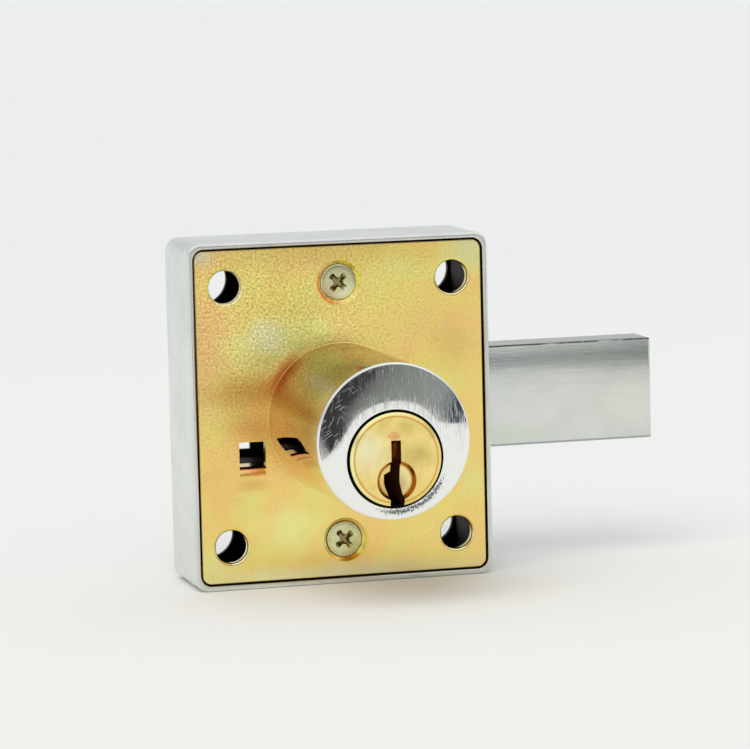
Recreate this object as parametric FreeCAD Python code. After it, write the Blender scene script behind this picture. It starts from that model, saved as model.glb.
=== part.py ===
"""Surface drawer lock: zinc case with a screwed cover plate, a pin tumbler cylinder
set low in a round barrel, and a long bolt thrown to the right by a half-turn crank.

Millimetres. X points right, the way the bolt comes out. Y points back, from the
drawer front into the case. Z points up. The origin is the centre of the four
mounting holes, on the front face of the cover plate.
"""

import FreeCAD, Part
import math
import os

V = FreeCAD.Vector
ALONG_Y = V(0, 1, 0)

# Case: an open box with its mouth to the front
case_width = 44.8
case_height = 50.3
case_depth = 15.0
case_corner_r = 2.0
case_back_edge_r = 1.0
case_front_edge_r = 0.45
case_wall = 1.6
back_wall = 1.0
rim_proud = 0.2
rim_lip = 0.78
rim_inner_edge_r = 0.15

# Cover plate, let into the rim of the case
plate_thick = 1.2
plate_gap = 0.27
plate_corner_r = 1.4
plate_edge_r = 0.15

# Mounting holes through plate and case back, set in from the case's sides and ends
hole_inset_x = 5.5
hole_inset_z = 6.35
mount_hole_d = 4.75
mount_hole_draw_r = 0.4
access_hole_d = 7.1

# Countersunk screws that hold the plate
cover_screw_inset = 6.4
cover_screw_head_d = 5.6
cover_screw_head_edge_r = 0.12
cover_screw_d = 2.9
cover_screw_length = 8.0
screw_tip_chamfer = 0.4
countersink_d = 6.4
screw_boss_d = 6.4
screw_boss_web = 2.2
screw_boss_foot = 1.0
screw_recess_across = 2.7
screw_recess_slot = 0.75
screw_recess_depth = 0.95

# Cylinder barrel and the plug in it, whose axis lies below the barrel's
barrel_d = 22.0
barrel_length = 28.4
barrel_drop = 1.0
barrel_bevel = 0.4
barrel_face_fall = 0.6
barrel_rear_wall = 2.0
plug_d = 13.1
plug_proud = 0.25
plug_bevel = 0.5
plug_bevel_depth = 0.3
bore_mouth_gap = 0.38
bore_mouth_depth = 1.2
bore_foot_wall = 1.67
tail_d = 6.0
tail_across_flats = 4.4
journal_step = 0.5
peg_d = 2.8
peg_inset = 2.8
peg_head_overhang = 0.6
peg_head_thick = 0.7
peg_head_edge_r = 0.35
peg_count = 4

# Keyway, from the plug's axis, and the dimple that guides the key to it
keyway_half = 0.7
keyway_top = 2.65
keyway_ward_top = -1.7
keyway_ward_slope = 0.45
keyway_ward_left = -1.62
keyway_ward_foot = -3.4
keyway_foot_left = -0.95
keyway_foot_right = 1.08
keyway_foot_bend = -5.6
dimple_d = 5.6
dimple_rim = 0.25
dimple_wall = 0.4
dimple_wall_depth = 0.6
dimple_depth = 1.15

# Pin stacks, one chamber after the other along the plug
pin_count = 5
first_pin_from_face = 3.5
pin_pitch = 3.9
pin_d = 2.8
key_cut_levels = (1.6, 0.9, 2.1, 1.2, 1.8)
key_pin_point = 0.7
key_pin_tip_r = 0.5
key_pin_drop = 1.0
key_pin_rest_gap = 0.2
driver_length = 3.0
driver_chamfer = 0.2
shear_gap = 0.02
spring_wire_d = 0.28
spring_turns = 4.5
strip_width = 3.6
strip_thick = 1.0
strip_end_margin = 0.5

# Bolt: a bar with a taller tail that the crank drives
bolt_height = 15.0
bolt_thick = 6.8
bolt_edge_r = 0.3
retracted_stand = 0.3
tail_thick = 4.0
tail_wall = 2.15
tail_end_gap = 0.27
bolt_window_gap = 0.5
bolt_window_front_gap = 0.2
window_corner_r = 1.0

# Guides for the bolt in the case, and the filler of the unused window
rail_thick = 1.0
blank_step = 0.8

# Crank on the plug's tail
crank_pin_d = 3.0
crank_rivet_step = 0.3
crank_rivet_head_overhang = 0.7
crank_rivet_head_thick = 0.5
crank_pin_edge = 0.25
arm_wall = 2.3
arm_inset_front = 0.8
arm_inset_back = 0.6
hub_step = 2.4
hub_flat_depth = 0.5
hub_boss_wall = 1.2
hub_stand_off = 0.6
crank_screw_head_d = 5.6
crank_screw_head_thick = 1.7
crank_screw_head_edge_r = 0.2
crank_screw_slot = 0.8
crank_screw_d = 2.9
crank_screw_length = 6.5
crank_screw_tip_room = 0.5

# Lanced tab of the plate, the crank's stop when the bolt is in
tab_width = 3.9
tab_window_height = 3.7
tab_bend_inside_r = 0.1

# Leaf spring under the hub
leaf_thick = 0.5
leaf_width = 3.0
leaf_end_inset = 0.4
leaf_corner_r = 0.8
leaf_post_width = 3.4
leaf_post_wall = 1.0

# Window left open in the case back, behind the tab
back_window_width = 5.0
back_window_height = 4.0
back_window_shift_x = 0.6
back_window_rise = 0.8

# Clearances between pieces
slide_gap = 0.15
back_gap = 0.1
running_gap = 0.07
seat_gap = 0.05
fit_gap = 0.02
stop_gap = 0.2
slot_gap = 0.1
face_gap = 0.4

# How far shapes that become one run into each other, and cutters run out of a face
bite = 0.5
clear = 1.0

# Places worked out from the sizes above
half_w = case_width / 2
half_h = case_height / 2
inner_x = half_w - case_wall
inner_z = half_h - case_wall
plate_half_x = half_w - rim_lip - plate_gap
plate_half_z = half_h - rim_lip - plate_gap
cavity_back = case_depth - back_wall
hole_x = half_w - hole_inset_x
hole_z = half_h - hole_inset_z
cover_screw_z = half_h - cover_screw_inset
barrel_r = barrel_d / 2
plug_r = plug_d / 2
bore_r = plug_r + running_gap
bore_mouth_r = plug_r + bore_mouth_gap
barrel_z = -barrel_drop
plug_z = barrel_z - barrel_r + bore_foot_wall + bore_mouth_r
plug_face = -barrel_length - plug_proud
journal_r = tail_d / 2 + journal_step
peg_circle_r = barrel_r - peg_inset
dimple_r = dimple_d / 2
dimple_z = plug_z - plug_r + plug_bevel + dimple_rim + dimple_r
bolt_back = cavity_back - back_gap
bolt_front = bolt_back - bolt_thick
boss_front = plate_thick + slide_gap
hub_front = plate_thick + peg_head_thick + hub_stand_off
hub_back = bolt_front - face_gap
arm_front = hub_front + arm_inset_front
arm_back = hub_back - arm_inset_back
arm_middle = (arm_front + arm_back) / 2
arm_end_r = crank_pin_d / 2 + arm_wall
crank_rivet_r = crank_pin_d / 2 - crank_rivet_step
hub_flat = arm_end_r + hub_step
hub_r = hub_flat + hub_flat_depth
tail_end_y = hub_back - crank_screw_head_thick - face_gap
tab_top = plug_z - arm_end_r - stop_gap
pin_r = pin_d / 2
chamber_r = pin_r + seat_gap
pin_places = [-barrel_length + first_pin_from_face + n * pin_pitch for n in range(pin_count)]
key_pin_top = plug_z + math.sqrt(plug_r ** 2 - pin_r ** 2) - shear_gap
driver_bottom = plug_z + bore_r + shear_gap
strip_bottom = barrel_z + barrel_r - strip_thick
leaf_top = plug_z - hub_flat - seat_gap
leaf_front = (hub_front + hub_back) / 2 - leaf_width / 2

# The crank turns evenly while the bolt slides evenly, so the pin wanders sideways in
# the bolt's slot. These shares of the crank radius bound the pear-shaped loop it makes.
# The radius is the largest that lets the bolt's tail stay between the case's side walls.
slot_r = crank_pin_d / 2 + slot_gap
loop_top_centre = 0.757
loop_top_share = 0.243
loop_side_turn = math.radians(25)
crank_r = (inner_x - tail_end_gap - tail_wall - slot_r) / (1 + loop_top_share)
bolt_throw = 2 * crank_r
bolt_end = half_w + retracted_stand + bolt_throw
slot_top_r = loop_top_share * crank_r + slot_r
tail_half = slot_top_r + tail_wall
tail_top = plug_z + loop_top_centre * crank_r + slot_top_r + tail_wall
tail_left = crank_r - tail_half


def box(x0, x1, y0, y1, z0, z1):
    return Part.makeBox(x1 - x0, y1 - y0, z1 - z0, V(x0, y0, z0))


def rod_y(x, z, r, y0, y1):
    return Part.makeCylinder(r, y1 - y0, V(x, y0, z), ALONG_Y)


def rod_z(x, y, r, z0, z1):
    return Part.makeCylinder(r, z1 - z0, V(x, y, z0))


def cone_y(x, z, r0, r1, y0, y1):
    return Part.makeCone(r0, r1, y1 - y0, V(x, y0, z), ALONG_Y)


def prism_y(edges, y0, y1):
    """Extrude a closed outline drawn in the plane y0 back to y1."""
    face = Part.Face(Part.Wire(Part.__sortEdges__(edges)))
    return face.extrude(V(0, y1 - y0, 0))


def outline(points, y):
    """Straight edges through (x, z) points, closed."""
    corners = [V(x, y, z) for x, z in points]
    return [Part.makeLine(a, b) for a, b in zip(corners, corners[1:] + corners[:1])]


def arc(a, b, c, y):
    return Part.Arc(V(a[0], y, a[1]), V(b[0], y, b[1]), V(c[0], y, c[1])).toShape()


def rounded_block(half_x, half_z, r, y0, y1):
    """Block about the origin whose four edges along Y are rounded."""
    block = box(-half_x, half_x, y0, y1, -half_z, half_z)
    return block.makeFillet(r, edges_along_y(block))


def edges_along_y(shape):
    """Straight edges that run along Y."""
    return [
        e for e in shape.Edges
        if e.Curve.TypeId == "Part::GeomLine" and abs(e.tangentAt(e.FirstParameter).y) > 0.999
    ]


def edges_at_y(shape, y):
    """Edges that lie wholly in the plane at y."""
    return [
        e for e in shape.Edges
        if abs(e.BoundBox.YMin - y) < 1e-4 and abs(e.BoundBox.YMax - y) < 1e-4
    ]


def mount_places():
    for sx in (-1, 1):
        for sz in (-1, 1):
            yield sx * hole_x, sz * hole_z


def cover_screw_places():
    return [(0, cover_screw_z), (0, -cover_screw_z)]


def make_case():
    shell = rounded_block(half_w, half_h, case_corner_r, -rim_proud, case_depth)
    shell = shell.makeFillet(case_back_edge_r, edges_at_y(shell, case_depth))
    shell = shell.makeFillet(case_front_edge_r, edges_at_y(shell, -rim_proud))
    pocket_x = half_w - rim_lip
    pocket_z = half_h - rim_lip
    pocket_r = plate_corner_r + plate_gap
    shell = shell.cut(rounded_block(pocket_x, pocket_z, pocket_r, -rim_proud - clear, plate_thick))
    inner_edges = [e for e in edges_at_y(shell, -rim_proud) if e.BoundBox.XMax < pocket_x + fit_gap]
    inner_edges = [e for e in inner_edges if e.BoundBox.XMin > -pocket_x - fit_gap]
    inner_edges = [e for e in inner_edges if abs(e.CenterOfMass.z) < pocket_z + fit_gap]
    shell = shell.makeFillet(rim_inner_edge_r, inner_edges)
    shell = shell.cut(rounded_block(inner_x, inner_z, pocket_r, plate_thick - bite, cavity_back))
    for x, z in cover_screw_places():
        shell = shell.fuse(screw_boss(x, z))
    shell = shell.fuse(guide_rails())
    shell = shell.fuse(leaf_posts())
    for x, z in cover_screw_places():
        shell = shell.cut(rod_y(x, z, cover_screw_d / 2 + seat_gap, 0, cavity_back - screw_boss_foot))
        shell = shell.cut(countersink(x, z))
    for x, z in mount_places():
        shell = shell.cut(rod_y(x, z, access_hole_d / 2, cavity_back - bite, case_depth + clear))
    shell = shell.cut(bolt_window(inner_x - clear, half_w + clear, 0))
    shell = shell.cut(bolt_window(-half_w - clear, -half_w + case_wall / 2, 0))
    shell = shell.cut(bolt_window(-half_w, -inner_x + clear, blank_step))
    return shell.cut(back_window()).removeSplitter()


def back_window():
    """Cutter for the window in the case back, behind the stop tab."""
    x = -crank_r + back_window_shift_x
    z = tab_top + back_window_rise
    return box(
        x - back_window_width / 2, x + back_window_width / 2,
        cavity_back - bite, case_depth + clear, z, z + back_window_height,
    )


def screw_boss(x, z):
    """Post for a cover screw, tied to the end wall by a web."""
    post = rod_y(x, z, screw_boss_d / 2, plate_thick, cavity_back + bite)
    half = screw_boss_web / 2
    wall = math.copysign(inner_z + bite, z)
    web = box(x - half, x + half, plate_thick, cavity_back + bite, min(z, wall), max(z, wall))
    return post.fuse(web)


def countersink(x, z):
    """Cone that the screw's head sits in, through the plate and into its boss."""
    r = countersink_d / 2
    depth = r - cover_screw_d / 2 - seat_gap
    return cone_y(x, z, r + clear, r - depth, -clear, depth)


def guide_rails():
    """Two rails that the bolt slides between, and the lug that stops the crank."""
    front = bolt_front - back_gap
    back = cavity_back + bite
    left = -inner_x + case_wall / 2
    right = inner_x + bite
    bottom = -bolt_height / 2 - slide_gap
    top = tail_top + slide_gap
    low = box(left, right, front, back, bottom - rail_thick, bottom)
    high = box(left, right, front, back, top, top + rail_thick)
    tie = box(-screw_boss_web / 2, screw_boss_web / 2, front, back, top, cover_screw_z)
    lug_left = crank_r - tab_width / 2
    lug_right = crank_r + tab_width / 2
    lug_foot = min(bottom, tab_top) - rail_thick
    lug = box(lug_left, lug_right, arm_middle, front, lug_foot, tab_top)
    lug_root = box(lug_left, lug_right, front, back, lug_foot, bottom)
    return low.fuse([high, tie, lug, lug_root])


def leaf_posts():
    """Two slotted posts that hold the ends of the leaf spring."""
    posts = []
    for side in (-1, 1):
        post = box(
            inner_x - leaf_post_width, inner_x + bite,
            leaf_front - face_gap, cavity_back + bite,
            leaf_top - leaf_thick - leaf_post_wall, leaf_top + leaf_post_wall,
        )
        slot = box(
            inner_x - leaf_post_width - clear, inner_x,
            leaf_front - clear, leaf_front + leaf_width + slide_gap,
            leaf_top - leaf_thick - seat_gap, leaf_top + seat_gap,
        )
        post = post.cut(slot)
        if side < 0:
            post = post.mirror(V(0, 0, 0), V(1, 0, 0))
        posts.append(post)
    return posts[0].fuse(posts[1])


def bolt_window(x0, x1, step):
    """Cutter for the bolt's window in a side wall, smaller all round by step."""
    half = bolt_height / 2 + bolt_window_gap - step
    front = bolt_front - bolt_window_front_gap + step
    back = cavity_back - step
    cutter = box(x0, x1, front, back, -half, half)
    edges = [
        e for e in cutter.Edges
        if abs(e.tangentAt(e.FirstParameter).x) > 0.999 and e.BoundBox.YMax < front + bite
    ]
    return cutter.makeFillet(window_corner_r, edges)


def make_side_window_blank():
    """Stepped filler for the left window, flush with the case."""
    outer = bolt_window(-half_w, -half_w + case_wall / 2 - fit_gap, fit_gap)
    inner = bolt_window(-half_w, -inner_x - fit_gap, blank_step + fit_gap)
    return outer.fuse(inner).removeSplitter()


def make_cover_plate():
    plate = rounded_block(plate_half_x, plate_half_z, plate_corner_r, 0, plate_thick)
    plate = plate.makeFillet(plate_edge_r, edges_at_y(plate, 0))
    for x, z in mount_places():
        plate = plate.cut(plate_hole(x, z, mount_hole_d / 2))
    circles = [e for e in edges_at_y(plate, 0) if e.Curve.TypeId == "Part::GeomCircle"]
    plate = plate.makeFillet(mount_hole_draw_r, [e for e in circles if len(e.Vertexes) == 1])
    for x, z in cover_screw_places():
        plate = plate.cut(plate_hole(x, z, cover_screw_d / 2 + seat_gap))
        plate = plate.cut(countersink(x, z))
    plate = plate.cut(plate_hole(0, plug_z, journal_r + slide_gap))
    for x, z in peg_places():
        plate = plate.cut(plate_hole(x, z, peg_d / 2 + fit_gap))
    return plate.cut(tab_window()).fuse(stop_tab()).removeSplitter()


def plate_hole(x, z, r):
    return rod_y(x, z, r, -clear, plate_thick + clear)


def tab_window():
    """Opening that the tab was lanced from."""
    bottom = tab_top - tab_bend_inside_r - plate_thick
    return box(
        -crank_r - tab_width / 2, -crank_r + tab_width / 2,
        -clear, plate_thick + clear, bottom, tab_top + tab_window_height,
    )


def stop_tab():
    """Tab bent back from the window's lower edge."""
    outside_r = tab_bend_inside_r + plate_thick
    x0 = -crank_r - tab_width / 2
    bend_z = tab_top - outside_r
    bend = Part.makeCylinder(outside_r, tab_width, V(x0, outside_r, bend_z), V(1, 0, 0))
    bend = bend.cut(Part.makeCylinder(tab_bend_inside_r, tab_width, V(x0, outside_r, bend_z), V(1, 0, 0)))
    quarter = box(x0, x0 + tab_width, 0, outside_r, bend_z, tab_top)
    flat = box(x0, x0 + tab_width, outside_r, arm_middle, tab_top - plate_thick, tab_top)
    return bend.common(quarter).fuse(flat)


def make_cover_screws():
    """Two countersunk screws with cross recesses turned half way between the axes."""
    head_r = cover_screw_head_d / 2
    shank_r = cover_screw_d / 2
    sunk = countersink_d / 2 - head_r - fit_gap
    neck = sunk + head_r - shank_r
    screws = []
    for x, z in cover_screw_places():
        head = cone_y(x, z, head_r, shank_r, sunk, neck)
        head = head.makeFillet(cover_screw_head_edge_r, edges_at_y(head, sunk))
        shank = rod_y(x, z, shank_r, neck, cover_screw_length)
        shank = shank.makeChamfer(screw_tip_chamfer, edges_at_y(shank, cover_screw_length))
        screw = head.fuse(shank).cut(cross_recess(x, z, sunk))
        screws.append(screw.removeSplitter())
    return Part.makeCompound(screws)


def cross_recess(x, z, top):
    """Two crossed slots that narrow to a point."""
    half = screw_recess_across / 2
    slot = screw_recess_slot / 2
    arms = []
    for turn in (45, 135):
        arm = box(x - half, x + half, top - bite, top + screw_recess_depth, z - slot, z + slot)
        arm.rotate(V(x, 0, z), ALONG_Y, turn)
        arms.append(arm)
    taper = cone_y(x, z, half + bite, slot, top - bite, top + screw_recess_depth)
    return arms[0].fuse(arms[1]).common(taper)


def peg_places():
    for n in range(peg_count):
        angle = math.radians(45 + n * 360 / peg_count)
        yield peg_circle_r * math.cos(angle), barrel_z + peg_circle_r * math.sin(angle)


def strip_span():
    first = pin_places[0] - chamber_r - strip_end_margin
    last = pin_places[-1] + chamber_r + strip_end_margin
    return first, last


def domed_blank():
    """Solid barrel whose face falls away to its bevelled rim as part of a ball."""
    ball_r = (barrel_r ** 2 + barrel_face_fall ** 2) / (2 * barrel_face_fall)
    ball = Part.makeSphere(ball_r, V(0, ball_r - barrel_length, barrel_z))
    blank = rod_y(0, barrel_z, barrel_r, -barrel_length, 0).common(ball)
    return blank.makeChamfer(barrel_bevel, edges_at_y(blank, barrel_face_fall - barrel_length))


def make_barrel():
    """Round barrel with the plug's bore, pin chambers, and pegs headed over behind the plate."""
    barrel = domed_blank()
    barrel = barrel.cut(rod_y(0, plug_z, bore_r, -barrel_length - clear, -barrel_rear_wall))
    mouth_end = -barrel_length + bore_mouth_depth
    barrel = barrel.cut(rod_y(0, plug_z, bore_mouth_r, -barrel_length - clear, mouth_end))
    barrel = barrel.cut(rod_y(0, plug_z, journal_r + running_gap, -barrel_rear_wall - clear, clear))
    for y in pin_places:
        barrel = barrel.cut(rod_z(0, y, chamber_r, plug_z, barrel_z + barrel_r))
    first, last = strip_span()
    half = strip_width / 2
    barrel = barrel.cut(box(-half, half, first, last, strip_bottom, barrel_z + barrel_r + clear))
    for x, z in peg_places():
        barrel = barrel.fuse(rod_y(x, z, peg_d / 2, -bite, plate_thick + fit_gap))
        head_r = peg_d / 2 + peg_head_overhang
        head = rod_y(x, z, head_r, plate_thick + fit_gap, plate_thick + peg_head_thick)
        head = head.makeFillet(peg_head_edge_r, edges_at_y(head, plate_thick + peg_head_thick))
        barrel = barrel.fuse(head)
    return barrel.removeSplitter()


def make_chamber_strip():
    """Strip pressed into the barrel's groove, its top turned flush with the barrel."""
    first, last = strip_span()
    half = strip_width / 2 - fit_gap
    strip = box(-half, half, first + fit_gap, last - fit_gap, strip_bottom, barrel_z + barrel_r + clear)
    return strip.common(rod_y(0, barrel_z, barrel_r - fit_gap, first, last))


def make_plug():
    plug = rod_y(0, plug_z, plug_r, plug_face, -barrel_rear_wall - seat_gap)
    nose = cone_y(0, plug_z, plug_r - plug_bevel, plug_r, plug_face, plug_face + plug_bevel_depth)
    blank = rod_y(0, plug_z, plug_r + clear, plug_face - clear, plug_face + plug_bevel_depth)
    plug = plug.cut(blank.cut(nose))
    plug = plug.fuse(rod_y(0, plug_z, journal_r, -barrel_rear_wall - clear, boss_front - seat_gap))
    plug = plug.fuse(drive_tail(plate_thick, tail_end_y, 0))
    thread_end = tail_end_y - crank_screw_length - crank_screw_tip_room
    plug = plug.cut(rod_y(0, plug_z, crank_screw_d / 2 + fit_gap, thread_end, tail_end_y + clear))
    plug = plug.cut(keyway())
    plug = plug.cut(key_dimple())
    for y in pin_places:
        plug = plug.cut(rod_z(0, y, chamber_r, chamber_floor(), plug_z + plug_r + clear))
    return plug.removeSplitter()


def drive_tail(y0, y1, gap):
    """Round tail with two flats, which turns the crank."""
    tail = rod_y(0, plug_z, tail_d / 2 + gap, y0, y1)
    flat = tail_across_flats / 2 + gap
    return tail.common(box(-tail_d, tail_d, y0, y1, plug_z - flat, plug_z + flat))


def chamber_floor():
    """Lowest level that a dropped key pin reaches, where its chamber ends."""
    return plug_z + min(key_cut_levels) - key_pin_drop - key_pin_rest_gap


def keyway():
    """Warded slot along the plug, open at its lower edge."""
    z = plug_z
    points = [
        (-keyway_half, z + keyway_top),
        (keyway_half, z + keyway_top),
        (keyway_half, z + keyway_ward_foot),
        (keyway_foot_right, z + keyway_foot_bend),
        (keyway_foot_right, z - plug_r - clear),
        (keyway_foot_left, z - plug_r - clear),
        (keyway_foot_left, z + keyway_foot_bend),
        (keyway_ward_left, z + keyway_ward_foot),
        (keyway_ward_left, z + keyway_ward_top - keyway_ward_slope),
        (-keyway_half, z + keyway_ward_top),
    ]
    start = plug_face - clear
    return prism_y(outline(points, start), start, pin_places[-1] + chamber_r)


def key_dimple():
    """Steep round wall, then a dish that is part of a ball."""
    foot_r = dimple_r - dimple_wall
    foot_y = plug_face + dimple_wall_depth
    wall = cone_y(0, dimple_z, dimple_r, foot_r, plug_face, foot_y)
    lead = rod_y(0, dimple_z, dimple_r, plug_face - clear, plug_face)
    sag = dimple_depth - dimple_wall_depth
    ball_r = (foot_r ** 2 + sag ** 2) / (2 * sag)
    ball = Part.makeSphere(ball_r, V(0, foot_y + sag - ball_r, dimple_z))
    dish = ball.common(rod_y(0, dimple_z, foot_r, foot_y, foot_y + sag))
    return lead.fuse([wall, dish])


def make_key_pin(n):
    """Pin with a blunt point, its flat top level with the plug's edge."""
    bottom = plug_z + key_cut_levels[n]
    y = pin_places[n]
    body = rod_z(0, y, pin_r, bottom + key_pin_point, key_pin_top)
    point = Part.makeCone(key_pin_tip_r, pin_r, key_pin_point, V(0, y, bottom))
    return body.fuse(point).removeSplitter()


def make_driver_pin(n):
    top = driver_bottom + driver_length
    pin = rod_z(0, pin_places[n], pin_r, driver_bottom, top)
    return pin.makeChamfer(driver_chamfer, [e for e in pin.Edges if e.BoundBox.ZLength < 1e-4])


def make_pin_spring(n):
    """Coil between the driver pin and the chamber strip."""
    wire_r = spring_wire_d / 2
    base = driver_bottom + driver_length + wire_r + fit_gap
    height = strip_bottom - wire_r - fit_gap - base
    coil_r = pin_r - wire_r - seat_gap
    quarters = int(4 * spring_turns)
    points = [coil_point(k * math.pi / 2, coil_r, height * k / quarters) for k in range(quarters + 1)]
    climb = height / (quarters * math.pi / 2)
    headings = [coil_heading(k * math.pi / 2, coil_r, climb) for k in range(quarters + 1)]
    path = []
    for k in range(quarters):
        path += biarc(points[k], headings[k], points[k + 1], headings[k + 1])
    section = Part.Wire(Part.makeCircle(wire_r, points[0], headings[0]))
    coil = Part.Wire(path).makePipeShell([section], True)
    coil.translate(V(0, pin_places[n], base))
    return coil


def coil_point(turn, r, z):
    return V(r * math.cos(turn), r * math.sin(turn), z)


def coil_heading(turn, r, climb):
    """Direction in which a coil runs, which rises by climb for each radian."""
    return V(-r * math.sin(turn), r * math.cos(turn), climb).normalize()


def biarc(start, heading, end, end_heading):
    """Two arcs that join two points and follow the direction at each."""
    chord = end - start
    both = chord.dot(heading + end_heading)
    spread = 2 * (1 - heading.dot(end_heading))
    reach = (math.sqrt(both ** 2 + spread * chord.dot(chord)) - both) / spread
    middle = (start + heading * reach + end - end_heading * reach) * 0.5
    first = arc_along(start, heading, middle)
    second = arc_along(end, end_heading * -1, middle)
    return [Part.Arc(start, first, middle).toShape(), Part.Arc(middle, second, end).toShape()]


def arc_along(start, heading, end):
    """Middle point of the arc that leaves start in the direction heading and meets end."""
    half = (end - start) * 0.5
    along = half.dot(heading) / half.Length
    rise = heading - half * (along / half.Length)
    angle = math.acos(along)
    return start + half + rise.normalize() * (half.Length * math.tan(angle / 2))


def make_crank():
    """Hub with two flats for the leaf spring, and an arm that carries the crank pin."""
    hub = rod_y(0, plug_z, hub_r, hub_front, hub_back)
    hub = hub.common(box(-hub_r, hub_r, hub_front, hub_back, plug_z - hub_flat, plug_z + hub_flat))
    boss = rod_y(0, plug_z, tail_d / 2 + hub_boss_wall, boss_front, hub_front + bite)
    arm = box(0, crank_r, arm_front, arm_back, plug_z - arm_end_r, plug_z + arm_end_r)
    arm = arm.fuse(rod_y(crank_r, plug_z, arm_end_r, arm_front, arm_back))
    crank = hub.fuse([boss, arm])
    crank = crank.cut(drive_tail(0, hub_back + clear, fit_gap))
    seat = tail_end_y + seat_gap
    crank = crank.cut(rod_y(0, plug_z, crank_screw_head_d / 2 + face_gap, seat, hub_back + clear))
    crank = crank.cut(rod_y(crank_r, plug_z, crank_rivet_r + fit_gap, arm_front - clear, arm_back + clear))
    return crank.removeSplitter()


def make_crank_pin():
    """Shouldered pin riveted into the arm, reaching into the bolt's slot."""
    head_front = arm_front - crank_rivet_head_thick
    pin_end = bolt_front + tail_thick - slide_gap
    shank = rod_y(crank_r, plug_z, crank_rivet_r, arm_front - crank_pin_edge, arm_back + clear)
    head_r = crank_rivet_r + crank_rivet_head_overhang
    head = rod_y(crank_r, plug_z, head_r, head_front, arm_front - fit_gap)
    head = head.makeFillet(crank_pin_edge, edges_at_y(head, head_front))
    shoulder = rod_y(crank_r, plug_z, crank_pin_d / 2, arm_back + fit_gap, pin_end)
    shoulder = shoulder.makeChamfer(crank_pin_edge, edges_at_y(shoulder, pin_end))
    return head.fuse([shank, shoulder]).removeSplitter()


def make_crank_screw():
    """Cheese-head screw that clamps the crank on the plug's tail."""
    seat = tail_end_y + seat_gap + fit_gap
    head_back = seat + crank_screw_head_thick
    head = rod_y(0, plug_z, crank_screw_head_d / 2, seat, head_back)
    head = head.makeFillet(crank_screw_head_edge_r, edges_at_y(head, head_back))
    half = crank_screw_slot / 2
    slot_floor = seat + crank_screw_head_thick / 2
    slot = box(-hub_r, hub_r, slot_floor, hub_back + clear, plug_z - half, plug_z + half)
    shank = rod_y(0, plug_z, crank_screw_d / 2, seat - crank_screw_length, seat + bite)
    return head.cut(slot).fuse(shank).removeSplitter()


def loop_point(turn):
    """Outer edge of the slot when the crank has turned by this angle from the bolt's out position."""
    x = crank_r * (math.cos(turn) - 1 + 2 * turn / math.pi)
    z = crank_r * math.sin(turn)
    along_x = 2 / math.pi - math.sin(turn)
    along_z = math.cos(turn)
    size = math.hypot(along_x, along_z)
    return x + slot_r * along_z / size, z - slot_r * along_x / size


def slot_outline(y):
    """Pear shape that clears the crank pin all the way, and holds it close at both ends of the throw."""
    foot = loop_point(0)
    side = loop_point(loop_side_turn)
    top = (slot_top_r, loop_top_centre * crank_r)

    def at(point, flip=1):
        return crank_r + flip * point[0], plug_z + point[1]

    crown = (0, top[1] + slot_top_r)
    return [
        arc(at(foot, -1), at((0, -slot_r)), at(foot), y),
        arc(at(foot), at(side), at(top), y),
        arc(at(top), at(crown), at(top, -1), y),
        arc(at(top, -1), at(side, -1), at(foot, -1), y),
    ]


def make_bolt():
    half = bolt_height / 2
    bar = box(tail_left, bolt_end, bolt_front, bolt_back, -half, half)
    long_edges = [e for e in bar.Edges if abs(e.tangentAt(e.FirstParameter).x) > 0.999]
    end_edges = [e for e in bar.Edges if e.BoundBox.XMin > bolt_end - bolt_edge_r]
    bar = bar.makeFillet(bolt_edge_r, long_edges + end_edges)
    tail = box(tail_left, crank_r + tail_half, bolt_front, bolt_front + tail_thick, -half, tail_top)
    bolt = bar.fuse(tail)
    slot = prism_y(slot_outline(bolt_front - clear), bolt_front - clear, bolt_front + tail_thick)
    return bolt.cut(slot).removeSplitter()


def make_detent_spring():
    """Flat spring held at both ends, with the hub's flat against its middle."""
    reach = inner_x - leaf_end_inset
    leaf = box(-reach, reach, leaf_front, leaf_front + leaf_width, leaf_top - leaf_thick, leaf_top)
    upright = [e for e in leaf.Edges if abs(e.tangentAt(e.FirstParameter).z) > 0.999]
    return leaf.makeFillet(leaf_corner_r, upright)


pieces = {
    "case": make_case(),
    "cover_plate": make_cover_plate(),
    "cover_screws": make_cover_screws(),
    "side_window_blank": make_side_window_blank(),
    "cylinder_barrel": make_barrel(),
    "chamber_strip": make_chamber_strip(),
    "plug": make_plug(),
    "drive_crank": make_crank(),
    "crank_pin": make_crank_pin(),
    "crank_screw": make_crank_screw(),
    "bolt": make_bolt(),
    "detent_spring": make_detent_spring(),
}
for n in range(pin_count):
    pieces[f"key_pin_{n + 1}"] = make_key_pin(n)
    pieces[f"driver_pin_{n + 1}"] = make_driver_pin(n)
    pieces[f"pin_spring_{n + 1}"] = make_pin_spring(n)

os.makedirs("parts", exist_ok=True)
for name, shape in pieces.items():
    shape.exportStep(f"parts/{name}.step")
    print(f"{name}: {len(shape.Solids)} solid, {shape.Volume:.1f} mm3, valid {shape.isValid()}")
print(f"bolt throw {bolt_throw:.2f} mm over half a turn, crank radius {crank_r:.2f} mm")
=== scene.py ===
# %% [markdown]
# # A drawer lock, dressed for its picture
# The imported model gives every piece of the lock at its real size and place. This lesson adds
# what the metal looks like: a passivated plate, a chromed barrel, a brass plug and a nickelled
# bolt. X points right, the way the bolt comes out, Y points back and Z up, in metres.

import math

import bmesh
import bpy
from mathutils import Matrix, Vector


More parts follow.
